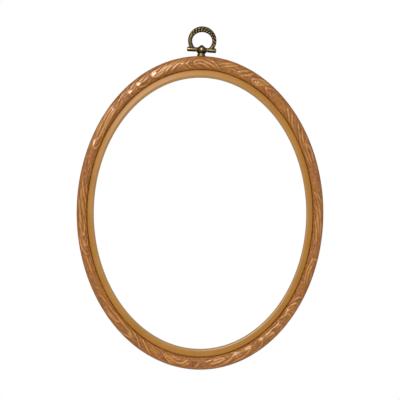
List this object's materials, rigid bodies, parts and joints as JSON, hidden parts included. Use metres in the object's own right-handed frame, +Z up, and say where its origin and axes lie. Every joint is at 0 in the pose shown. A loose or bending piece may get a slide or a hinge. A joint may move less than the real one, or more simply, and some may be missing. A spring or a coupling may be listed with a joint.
{
  "type": "oval hoop picture frame",
  "caption": "Oval picture frame of the hoop kind: a wood-grain flexible outer hoop over a tan inner hoop, with an antique-brass hanging ring hinged on a post at the top.",
  "frame": {"origin": "centre of the oval opening, in the plane of the rear face that lies against the wall", "axes": "+X to the viewer's right, +Y back to the wall, +Z up; the frame's face looks along -Y"},
  "size_m": [0.1396, 0.0111, 0.1941],
  "materials": {
    "woodgrain_vinyl": "glossy flexible plastic, embossed with wood grain, golden lines on red-brown",
    "tan_plastic": "satin moulded plastic, tan to ochre",
    "antique_brass": "antiqued brass, dark in the hollows and bright on the high places",
    "zinc_steel": "zinc-plated steel"
  },
  "bodies": {
    "outer_hoop_body": {"outer_hoop": "woodgrain_vinyl", "hanger_post": "antique_brass", "post_screw": "zinc_steel", "screw_washer": "zinc_steel"},
    "hanging_ring_body": {"hanger_bow": "antique_brass", "left_barrel": "antique_brass", "right_barrel": "antique_brass", "hinge_pin": "antique_brass"},
    "inner_hoop_body": {"inner_hoop": "tan_plastic"}
  },
  "joints": [
    {"name": "ring_hinge", "type": "hinge", "parent": "outer_hoop_body", "child": "hanging_ring_body", "pos_m": [0.00091, -0.00525, 0.09244], "axis": [0.9976, 0, -0.0698], "range_deg": [-120, 120]},
    {"name": "inner_hoop_release", "type": "slide", "parent": "outer_hoop_body", "child": "inner_hoop_body", "axis": [0, 1, 0], "range_m": [0, 0.012]}
  ]
}
